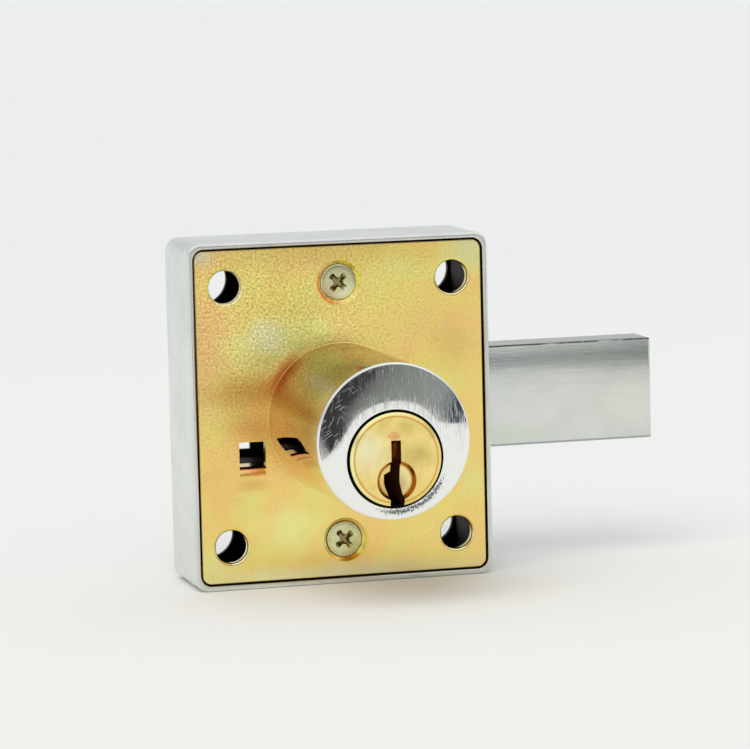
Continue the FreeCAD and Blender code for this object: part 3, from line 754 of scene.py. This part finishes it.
def brass_look(place):
    colour = patched(place, noise(place, *brass_clouds), brass_tints, plug_patches)
    grain = noise(place, *brass_grain)
    wear_and_edge_shade = remap(patch(place, *worn_spot), 0.2, 0.6) * remap(grain, 0.38, 0.56)
    colour = dyed(colour, wear_and_edge_shade, worn_tone)
    colour = dyed(colour, remap(grain, 0.64, 0.74) * 0.5, speck_tone)
    off, radius = flat_offset(place, plug_centre)
    colour = dyed(colour, band(radius, *plug_rim) * 0.85, rim_shade_tone)
    lit_side = remap(facing(off, radius, rim_lit_toward), -0.3, 0.6)
    colour = dyed(colour, remap(radius, *rim_lit) * lit_side, rim_lit_tone)
    off, radius = flat_offset(place, dimple_centre)
    colour = dyed(colour, band(radius, *dimple_ring) * 0.85, dimple_shade_tone)
    dish = remap(radius, dimple_ring[2], dimple_ring[0])
    lit_side = remap(facing(off, radius, dish_toward), -0.2, 0.8)
    lit = remap(radius, dimple_ring[1], dimple_ring[0] - 0.1) * lit_side
    colour = dyed(colour, lit * 0.8, dish_highlight_tone)
    inside = remap(split(place)[1], *keyway_y)
    colour = dyed(colour, inside, inside_tone)
    fine, broad = brushing(place, plug_brushing)
    return colour, between(broad, *plug_roughs) + larger(dish, inside) * 0.2, fine


print("patches on the plug:", len(plug_patches))

# %% [markdown]
# ## Zinc case, nickelled bolt and passivated screws
# The case is a zinc casting, tumbled smooth and plated a soft pale grey. Little light gets into
# its pocket, so painted shade darkens it there. The bolt is drawn steel bar under nickel. Drawing
# leaves fine lines along it, most of them near its upper edge, where the plating looks bluer and
# darker. The lines could be a picture wrapped round the bar, but noise that is stretched along it
# needs no unwrapping and never repeats. The bolt's top face and underside get painted shade, its
# top front edge a broken line of painted shade, and its sheared end painted glints. The screws
# had the plate's bath and came out paler, and painted shade darkens the gap round each head and
# its recess.

# %% Finish of the case
case_tints = [(0.3, (204, 208, 204)), (0.7, (213, 217, 213))]
case_clouds, case_roughs, case_grain = (0.12, 3.0, 0.55), (0.26, 0.34), 1.3
pocket_x, pocket_z, pocket_corner = 21.9, 24.66, (45.7, 45.6)
pocket_y = (0.7, 0.8, 14.7, 14.8)
pocket_shade_tone, pocket_rough = (44, 40, 32), 0.3


def zinc_look(place):
    colour = patched(place, noise(place, *case_clouds), case_tints)
    x, y, z = split(place)
    # Painted shade inside the pocket, where little light gets in.
    deep = band(y, *pocket_y)
    within = 1.0 - outside_box(place, pocket_x, pocket_z)
    pocket = deep * (within * remap(abs(x) + abs(z), *pocket_corner))
    rough = remap(noise(place, 0.6, 3.0), 0.3, 0.7, *case_roughs) + pocket * pocket_rough
    return dyed(colour, pocket, pocket_shade_tone), rough, speckle(place, case_grain)


print("pocket of the case:", pocket_x * 2, "x", pocket_z * 2, "mm")

# %% Finish of the bolt
bolt_clouds, broken_edge_noise = (0.18, 3.0, 0.55), (1.0, 3.0, 0.7)
bolt_tints = [(0.3, (198, 203, 198)), (0.7, (206, 210, 205))]
bolt_patches = one_depth([
    (30, 5.6, 26, 2.4, 1, 0.5, (190, 200, 202)),
    (22, 0, 6, 6, 0.8, 0.5, (204, 206, 214)),
    (27, -6.2, 8, 2.6, 0.8, 0.6, (192, 200, 190)),
    (46, -2, 7, 4.5, 0.7, 0.7, (212, 211, 202)),
])
bolt_top_z, bolt_under_z, bolt_edge_z = (7.38, 7.46), (-7.1, -7.22), (7.22, 7.3)
bolt_edge_y, bolt_end_x = (7.75, 7.55), (49.58, 49.64)
bolt_top_shade_tone, bolt_under_shade_tone = (118, 124, 118), (158, 163, 166)
bolt_edge_shade_tone, end_glint_tone = (58, 60, 56), (250, 250, 248)
bolt_brushing, bolt_roughs = (0.5, 11.0, 11.0), (0.09, 0.16)
edge_break_stretch, end_glint_stretch = (0.5, 0.2, 0.2), (0.0, 3.0, 1.2)


def nickel_look(place):
    colour = patched(place, noise(place, *bolt_clouds), bolt_tints, bolt_patches)
    x, y, z = split(place)
    # Painted shade on the bolt's top face.
    colour = dyed(colour, remap(z, *bolt_top_z), bolt_top_shade_tone)
    fine, broad = brushing(place, bolt_brushing)
    # Painted shade: a broken dark line along the top front edge, for the dark room that the edge mirrors.
    wear_and_edge_shade = noise(place * edge_break_stretch, *broken_edge_noise)
    edge = remap(z, *bolt_edge_z) * remap(y, *bolt_edge_y)
    colour = dyed(colour, edge * remap(wear_and_edge_shade, 0.36, 0.52, 0.15, 0.9), bolt_edge_shade_tone)
    # Painted shade along the bolt's underside.
    colour = dyed(colour, remap(z, *bolt_under_z), bolt_under_shade_tone)
    # Painted glints: bright specks along the sheared end.
    end_glints = remap(noise(place * end_glint_stretch, *broken_edge_noise), 0.42, 0.6)
    colour = dyed(colour, remap(x, *bolt_end_x) * end_glints, end_glint_tone)
    upper = remap(z, 0.5, 4.0, 0.2, 1.0)
    lines = fine * upper
    return colour * (1.02 - lines * 0.2), between(broad, *bolt_roughs) + upper * 0.07, lines


print("patches on the bolt:", len(bolt_patches))

# %% Finish of the screws
screw_clouds, screw_grain = (0.5, 3.0, 0.6, 0.5), 5.0
recess_y, screw_gap_r = (0.5, 0.88), (2.73, 2.78)
screw_tints = [(0.32, (198, 196, 142)), (0.5, (208, 212, 164)), (0.66, (220, 220, 178))]
screw_gap_shade_tone, screw_roughs = (118, 94, 46), (0.2, 0.32)
screw_patches = one_depth([
    (-1.4, 17.6, 1.8, 1.6, 0.5, 0.7, (214, 186, 156)),
    (0.9, 20.2, 1.6, 1.3, 0.5, 0.6, (206, 196, 164)),
    (1.6, -19.6, 1.8, 1.6, 0.5, 0.7, (182, 178, 120)),
])


def screw_look(place):
    colour = patched(place, noise(place, *screw_clouds), screw_tints, screw_patches)
    x, y, z = split(place)
    radius = length(add("CombineXYZ", {"X": x, "Z": abs(z) - seat_z}))
    sunk = remap(y, *recess_y)
    # Painted shade in the gap round the head and down in the recess.
    dark = larger(remap(radius, *screw_gap_r), sunk * 0.75)
    grain = speckle(place, screw_grain)
    return dyed(colour, dark, screw_gap_shade_tone), between(grain, *screw_roughs), grain


print("patches on the screws:", len(screw_patches))

# %% [markdown]
# ## Pieces inside the lock
# Pins, crank and springs are plain turned, pressed and drawn parts that show only through the
# holes. Their looks differ only in tint, gloss and grain, so one function makes all three.

# %% Finish of the inner pieces


def inner_look(clouds, tints, texture, roughs):
    """Look with a clouded colour, and a grain or streaks that rule gloss and relief."""
    def look(place):
        height = texture(place)
        return patched(place, noise(place, *clouds), tints), between(height, *roughs), height
    return look


pin_look = inner_look(
    (0.8, 2.0), [(0.35, (206, 172, 96)), (0.65, (226, 196, 118))],
    lambda place: brushing(place, (1.0, 1.0, 14.0))[0], (0.14, 0.28),
)
steel_look = inner_look(
    (0.3, 3.0, 0.6), [(0.3, (150, 150, 150)), (0.7, (184, 184, 182))],
    lambda place: speckle(place, 3.0), (0.28, 0.42),
)
spring_look = inner_look(
    (0.5, 2.0), [(0.3, (138, 142, 152)), (0.7, (176, 178, 182))],
    lambda place: brushing(place, (0.6, 6.0, 6.0))[0], (0.22, 0.36),
)
print("inner looks ready")

# %% All finishes, each with its look and the depth of its relief in millimetres
looks = {
    "case_zinc": (zinc_look, 0.0009),
    "plate_passivated": (plate_look, 0.003),
    "screw_passivated": (screw_look, 0.003),
    "barrel_chrome": (chrome_look, 0.002),
    "plug_brass": (brass_look, 0.0012),
    "pin_brass": (pin_look, 0.002),
    "crank_steel": (steel_look, 0.004),
    "bolt_nickel": (nickel_look, 0.003),
    "spring_steel": (spring_look, 0.002),
}
finishes = {name: new_metal(name, *made) for name, made in looks.items()}
for node in nodes.values():
    node.data.materials[0] = finishes[node.data.materials[0].name.split(".")[0]]
print("finishes:", len(finishes))

# %% [markdown]
# ## Barrel
# The barrel is one zinc casting, turned and then chromed. Its face falls away to the rim like a
# shallow dome, and that gives the dark crescent in its upper part: each point of the face looks
# at another place in the studio. A dome needs an even grid of faces to mirror cleanly, so the
# barrel is made of rings of equal count, from the root over the rim and into the bore. The bore
# lies lower than the barrel, so between them the rings slide from one centre to the other. The
# pin chambers and the strip's groove are cut afterwards, as in the workshop.

# %% Sizes of the barrel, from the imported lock
barrel_low, barrel_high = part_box("cylinder_barrel")
plug_low, plug_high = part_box("plug")
pin_boxes = [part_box(f"pin_spring_{n}") for n in range(1, 6)]
strip_low, strip_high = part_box("chamber_strip")
ring_count = 192
barrel_r = (barrel_high.x - barrel_low.x) / 2
barrel_z = (barrel_high.z + barrel_low.z) / 2
plug_r = (plug_high.x - plug_low.x) / 2
plug_z = plug_low.z + plug_r
barrel_face = barrel_low.y
rim_r = 0.35 * MM
dome_inner_tilt, dome_rim_tilt = 0.05, 0.19
dome_inner_r = 4.6 * MM
mouth_r = plug_r + 0.38 * MM
mouth_edge = 0.06 * MM
mouth_depth = 1.2 * MM
bore_r = plug_r + 0.07 * MM
bore_end = -2.0 * MM
journal_r = 3.57 * MM
root_flare = [(0.06 * MM, 0.0), (0.025 * MM, -0.02 * MM), (0.0, -0.06 * MM)]
side_shares = (0.25, 0.5, 0.75, 0.97)
face_steps = 30
round_steps = 6
quarter = [math.pi / 2 * k / round_steps for k in range(round_steps + 1)]
print("radius of barrel and plug, plug's height:", [round(v / MM, 2) for v in (barrel_r, plug_r, plug_z)])

# %% Barrel rings


def face_depth(radius):
    """Depth of the domed face at this radius from the barrel's axis."""
    past = max(0.0, radius - dome_inner_r)
    bend = (dome_rim_tilt - dome_inner_tilt) / (barrel_r - dome_inner_r)
    return barrel_face + (dome_inner_tilt * past + bend * past ** 2 / 2)


def ring_points(radius, centre_z, depth):
    """Circle across Y. The depth is a number, or a function of the distance from the barrel's axis."""
    points = []
    for k in range(ring_count):
        turn = 2 * math.pi * k / ring_count
        x, z = radius * math.cos(turn), centre_z + radius * math.sin(turn)
        y = depth(math.hypot(x, z - barrel_z)) if callable(depth) else depth
        points.append(Vector((x, y, z)))
    return points


def face_ring(outer, inner, share):
    """Ring on the dome, part of the way from one ring to another."""
    points = [a.lerp(b, share) for a, b in zip(outer, inner)]
    for point in points:
        point.y = face_depth(math.hypot(point.x, point.z - barrel_z))
    return points


def barrel_rings():
    """Rings from the root along the side, over the rim and the dome, into the bore and out at the back."""
    rings = [ring_points(barrel_r + flare, barrel_z, y) for flare, y in root_flare]
    side_end = face_depth(barrel_r - rim_r) + rim_r
    rings += [ring_points(barrel_r, barrel_z, side_end * share) for share in side_shares]
    for turn in quarter:
        r = barrel_r - rim_r + rim_r * math.cos(turn)
        rings.append(ring_points(r, barrel_z, side_end - rim_r * math.sin(turn)))
    rim = ring_points(barrel_r - rim_r, barrel_z, face_depth)
    mouth = ring_points(mouth_r + mouth_edge, plug_z, face_depth)
    rings += [face_ring(rim, mouth, k / face_steps) for k in range(1, face_steps)]
    for turn in quarter:
        inset = mouth_edge * (1 - math.sin(turn))
        drop = mouth_edge * (1 - math.cos(turn))
        rings.append(ring_points(mouth_r + inset, plug_z, lambda r: face_depth(r) + drop))
    mouth_end = barrel_face + mouth_depth
    bore = [(mouth_r, mouth_end), (bore_r, mouth_end), (bore_r, bore_end)]
    bore += [(journal_r, bore_end), (journal_r, 0.0)]
    return rings + [ring_points(r, plug_z, y) for r, y in bore]


def rings_to_mesh(name, rings):
    """Quads between neighbouring rings, and between the last and the first one."""
    mesh = bpy.data.meshes.new(name)
    count = len(rings[0])
    faces = []
    for a in range(len(rings)):
        b = (a + 1) % len(rings)
        for k in range(count):
            m = (k + 1) % count
            faces.append((a * count + k, a * count + m, b * count + m, b * count + k))
    mesh.from_pydata([point for ring in rings for point in ring], [], faces)
    return mesh


def to_mesh(name, work):
    mesh = bpy.data.meshes.new(name)
    work.to_mesh(mesh)
    work.free()
    return mesh


def set_normals(mesh, sharp_deg=30):
    """Outward faces, smooth except along edges that turn by more than the given angle."""
    work = bmesh.new()
    work.from_mesh(mesh)
    bmesh.ops.recalc_face_normals(work, faces=work.faces)
    work.to_mesh(mesh)
    work.free()
    mesh.shade_smooth()
    mesh.set_sharp_from_angle(angle=math.radians(sharp_deg))


barrel = new_object("barrel", rings_to_mesh("barrel", barrel_rings()))
set_normals(barrel.data)
print("barrel faces:", len(barrel.data.polygons))

# %% Cutters and pegs of the barrel
chamber_r, chamber_sides = 1.45 * MM, 40
groove_gap = 0.003 * MM
peg_root = -0.5 * MM
peg_r = 1.4 * MM
peg_head_r = 2.0 * MM
peg_head_start = 1.22 * MM
peg_head_round = 0.35 * MM
peg_circle_r = 8.2 * MM


def turned(work, profile, place, count=48):
    """Closed solid of revolution about Y at a place, from (radius, y) points that start and end on the axis.
    A radius may be a function of the share of the turn."""
    rings = []
    for radius, y in profile:
        if radius == 0:
            rings.append([work.verts.new((place.x, y, place.z))])
            continue
        ring = []
        for k in range(count):
            turn = 2 * math.pi * k / count
            reach = radius(k / count) if callable(radius) else radius
            x, z = place.x + reach * math.cos(turn), place.z + reach * math.sin(turn)
            ring.append(work.verts.new((x, y, z)))
        rings.append(ring)
    for a, b in zip(rings, rings[1:]):
        for k in range(count):
            corners = [a[k % len(a)], a[(k + 1) % len(a)], b[(k + 1) % len(b)], b[k % len(b)]]
            work.faces.new(list(dict.fromkeys(corners)))


def peg_mesh():
    """Four pegs behind the barrel, each headed over behind the plate."""
    work = bmesh.new()
    head_end = barrel_high.y
    profile = [(0, peg_root), (peg_r, peg_root), (peg_r, peg_head_start), (peg_head_r, peg_head_start)]
    for turn in quarter:
        inset = peg_head_round * (1 - math.cos(turn))
        profile.append((peg_head_r - inset, head_end - peg_head_round * (1 - math.sin(turn))))
    profile.append((0, head_end))
    for k in range(4):
        turn = math.pi / 4 + k * math.pi / 2
        centre = Vector((peg_circle_r * math.cos(turn), 0, barrel_z + peg_circle_r * math.sin(turn)))
        turned(work, profile, centre)
    return to_mesh("pegs", work)


def chamber_cutter():
    """The five pin chambers, from the plug's axis up through the barrel's top."""
    work = bmesh.new()
    for low, high in pin_boxes:
        made = bmesh.ops.create_cone(
            work, cap_ends=True, segments=chamber_sides, radius1=chamber_r, radius2=chamber_r,
            depth=barrel_r - plug_z,
        )
        middle = (0, (low.y + high.y) / 2, (barrel_r + plug_z) / 2)
        bmesh.ops.translate(work, verts=made["verts"], vec=middle)
    return to_mesh("chambers", work)


def groove_cutter():
    """The groove of the strip that closes the chambers."""
    work = bmesh.new()
    made = bmesh.ops.create_cube(work, size=1.0)
    low = Vector((strip_low.x - groove_gap, strip_low.y - groove_gap, strip_low.z))
    high = Vector((strip_high.x + groove_gap, strip_high.y + groove_gap, barrel_high.z + MM))
    for vert in made["verts"]:
        vert.co = Vector([(a + b) / 2 + c * (b - a) for a, b, c in zip(low, high, vert.co)])
    return to_mesh("groove", work)


def evaluated_mesh(piece):
    """Plain mesh of what a piece's modifiers make. The modifiers are removed."""
    seen = piece.evaluated_get(bpy.context.evaluated_depsgraph_get())
    mesh = bpy.data.meshes.new_from_object(seen)
    piece.modifiers.clear()
    return mesh


def apply_boolean(target, mesh, operation):
    """Cut or join a mesh with the target's mesh, and leave a plain mesh behind."""
    set_normals(mesh)
    tool = new_object(mesh.name, mesh)
    modifier = target.modifiers.new("cut", "BOOLEAN")
    modifier.operation = operation
    modifier.solver = "EXACT"
    modifier.object = tool
    target.data = evaluated_mesh(target)
    bpy.data.objects.remove(tool)


def dress(piece, finish):
    piece.data.materials.clear()
    piece.data.materials.append(finishes[finish])


apply_boolean(barrel, groove_cutter(), "DIFFERENCE")
apply_boolean(barrel, chamber_cutter(), "DIFFERENCE")
apply_boolean(barrel, peg_mesh(), "UNION")
set_normals(barrel.data)
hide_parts("cylinder_barrel")
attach(barrel, "case_body")
print("barrel faces after cutting:", len(barrel.data.polygons))
dress(barrel, "barrel_chrome")

# %% [markdown]
# ## Cover screws
# A screw like this is headed from wire, its cross recess is pressed in with a punch, and its
# thread is rolled. Here one screw is turned as rings whose radius follows the thread, and a punch
# with four flared wings cuts the recess. The second screw could be a copy set by hand, but
# Geometry Nodes set the same screw in both places, and turn each one as the screwdriver left it.

# %% One screw
screw_low, screw_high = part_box("cover_screws")
head_r = (screw_high.x - screw_low.x) / 2
head_top, screw_end = screw_low.y, screw_high.y
screw_z = (screw_high.z - screw_low.z) / 2 - head_r
crest_r, root_r, pitch = 1.45 * MM, 1.14 * MM, 0.5 * MM
neck_y = head_top + head_r - crest_r
thread_count = 40
steps_per_pitch = 8
head_shares, head_dome = (0.25, 0.5, 0.75, 0.92), 0.07 * MM
head_rim = [(0.05 * MM, head_dome + 0.02 * MM), (0.04 * MM, 0.1 * MM)]
tip_length, tip_inset = 0.4 * MM, 0.35 * MM
recess_outline = [
    (0.74, -0.36), (1.34, -0.46), (1.56, -0.32), (1.62, 0.0),
    (1.56, 0.32), (1.34, 0.46), (0.74, 0.36), (0.5, 0.5),
]
recess_over, recess_depth, recess_foot = 0.3 * MM, 0.85 * MM, 0.5
first_turn, turn_step = math.radians(43), math.radians(8)
screw_sharp_deg = 35


def thread_radius(y, fade):
    """Radius round the thread at one height, as a function of the share of the turn."""
    def radius(share):
        wave = abs(((y / pitch - share) % 1.0) * 2 - 1)
        return crest_r - (crest_r - root_r) * fade * wave
    return radius


def screw_mesh():
    """One screw with its head's face at the front and its axis along Y."""
    face_r = head_r - head_rim[-1][0]
    profile = [(0, head_top)]
    profile += [(face_r * share, head_top + head_dome * share ** 3) for share in head_shares]
    profile += [(head_r - inset, head_top + drop) for inset, drop in head_rim]
    profile.append((crest_r, neck_y))
    turns = int((screw_end - tip_length - neck_y) / pitch * steps_per_pitch)
    for k in range(1, turns + 1):
        y = neck_y + k * pitch / steps_per_pitch
        fade = min(1.0, k / steps_per_pitch, (turns - k) / steps_per_pitch)
        profile.append((thread_radius(y, fade), y))
    profile += [(crest_r - tip_inset, screw_end), (0, screw_end)]
    work = bmesh.new()
    turned(work, profile, Vector((0, 0, 0)), thread_count)
    return to_mesh("screw", work)


def recess_cutter():
    """Punch with four flared wings that narrows to half its width at its foot."""
    work = bmesh.new()
    over_share = 1.0 + recess_over / recess_depth * (1 - recess_foot)
    rings = []
    for depth, share in ((-recess_over, over_share), (recess_depth, recess_foot)):
        ring = []
        for arm in range(4):
            c, s = math.cos(arm * math.pi / 2), math.sin(arm * math.pi / 2)
            for a, b in recess_outline:
                x, z = (a * c - b * s) * share * MM, (a * s + b * c) * share * MM
                ring.append(work.verts.new((x, head_top + depth, z)))
        rings.append(ring)
    count = len(rings[0])
    for k in range(count):
        m = (k + 1) % count
        work.faces.new((rings[0][k], rings[0][m], rings[1][m], rings[1][k]))
    for ring in rings:
        work.faces.new(ring)
    return to_mesh("recess", work)


one_screw = new_object("one_screw", screw_mesh())
set_normals(one_screw.data)
apply_boolean(one_screw, recess_cutter(), "DIFFERENCE")
set_normals(one_screw.data, screw_sharp_deg)
dress(one_screw, "screw_passivated")
print("screw faces:", len(one_screw.data.polygons))

# %% Both screws by Geometry Nodes


def screw_nodes():
    """Node tree that sets an object on each point and turns each one by its own angle."""
    tree = bpy.data.node_groups.new("screws", "GeometryNodeTree")
    kinds = {
        "Places": "Geometry", "Screw": "Object", "First Turn": "Float", "Turn Step": "Float",
        "Finish": "Material",
    }
    sockets = {}
    for label, kind in kinds.items():
        made = tree.interface.new_socket(label, in_out="INPUT", socket_type="NodeSocket" + kind)
        sockets[label] = made.identifier
    tree.interface.new_socket("Geometry", in_out="OUTPUT", socket_type="NodeSocketGeometry")
    given = tree.nodes.new("NodeGroupInput").outputs
    places, screw, first, step, finish = [Wire(tree, given[label]) for label in kinds]
    shape = add("GeometryNodeObjectInfo", {"Object": screw}, take="Geometry")
    turn = add("GeometryNodeInputIndex", tree=tree) * step + first
    spin = add("CombineXYZ", {"Y": turn})
    placed = add("GeometryNodeInstanceOnPoints", {"Points": places, "Instance": shape, "Rotation": spin})
    real = add("GeometryNodeRealizeInstances", {0: placed})
    dressed = add("GeometryNodeSetMaterial", {"Geometry": real, "Material": finish})
    add("NodeGroupOutput", {0: dressed}, take=())
    return tree, sockets


def make_screws():
    points = bpy.data.meshes.new("screw_places")
    points.from_pydata([(0, 0, screw_z), (0, 0, -screw_z)], [], [])
    holder = new_object("screw_places", points)
    tree, sockets = screw_nodes()
    modifier = holder.modifiers.new("screws", "NODES")
    modifier.node_group = tree
    modifier[sockets["Screw"]] = one_screw
    modifier[sockets["First Turn"]] = first_turn
    modifier[sockets["Turn Step"]] = turn_step
    modifier[sockets["Finish"]] = finishes["screw_passivated"]
    mesh = evaluated_mesh(holder)
    bpy.data.objects.remove(holder)
    bpy.data.objects.remove(one_screw)
    set_normals(mesh, screw_sharp_deg)
    return new_object("screws", mesh)


screws = make_screws()
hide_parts("cover_screws")
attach(screws, "case_body")
print("screws:", len(screws.data.polygons), "faces, materials", [m.name for m in screws.data.materials])

# %% [markdown]
# ## Bolt
# The bolt is drawn bar, and its front leans back a little towards the upper edge. That is why the
# upper third mirrors the dark room and the rest mirrors the paper. The dark band could be
# painted, but paint would stay dark from every side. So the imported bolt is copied, cut into
# narrow bands and leant back band by band, and its outer edges are eased.

# %% Bolt
bolt_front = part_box("bolt")[0].y
lean_start, band_height = 2.6 * MM, 0.49 * MM
lean_degrees = [0.5, 1.3, 2.3, 3.3, 4.1, 4.5, 4.1, 3.1, 2.2, 1.7]
lean_end = lean_start + band_height * len(lean_degrees)
outside_x, inside_x = 20.5 * MM, 17.0 * MM
edge_ease, ease_from = 0.12 * MM, math.radians(60)
weld, cut_reach, touching = 0.001 * MM, 0.0005 * MM, 0.01 * MM


def leaning(z):
    """How far the front has leant back at this height."""
    total = 0.0
    for k, degrees in enumerate(lean_degrees):
        within = min(band_height, max(0.0, z - lean_start - band_height * k))
        total += math.tan(math.radians(degrees)) * within
    return total


def leant_bolt():
    work = bmesh.new()
    work.from_mesh(nodes["bolt"].data)
    work.transform(nodes["bolt"].matrix_world)
    bmesh.ops.remove_doubles(work, verts=work.verts, dist=weld)
    cuts = [((0, 0, lean_start + band_height * k), (0, 0, 1)) for k in range(len(lean_degrees))]
    cuts += [((x, 0, 0), (1, 0, 0)) for x in (inside_x, (inside_x + outside_x) / 2, outside_x)]
    for place, normal in cuts:
        parts = list(work.verts) + list(work.edges) + list(work.faces)
        bmesh.ops.bisect_plane(work, geom=parts, dist=cut_reach, plane_co=place, plane_no=normal)
    for vert in work.verts:
        if abs(vert.co.y - bolt_front) < touching and vert.co.z <= lean_end + touching:
            share = min(1.0, max(0.0, (vert.co.x - inside_x) / (outside_x - inside_x)))
            vert.co.y += leaning(vert.co.z) * share
    sharp = [
        edge for edge in work.edges
        if len(edge.link_faces) == 2 and edge.calc_face_angle() > ease_from
        and all(vert.co.x > outside_x - touching for vert in edge.verts)
    ]
    bmesh.ops.bevel(work, geom=sharp, offset=edge_ease, segments=3, profile=0.5, affect="EDGES")
    return to_mesh("bolt", work)


bolt = new_object("bolt_bar", leant_bolt())
set_normals(bolt.data)
dress(bolt, "bolt_nickel")
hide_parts("bolt")
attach(bolt, "bolt_body")
print("bolt faces:", len(bolt.data.polygons))
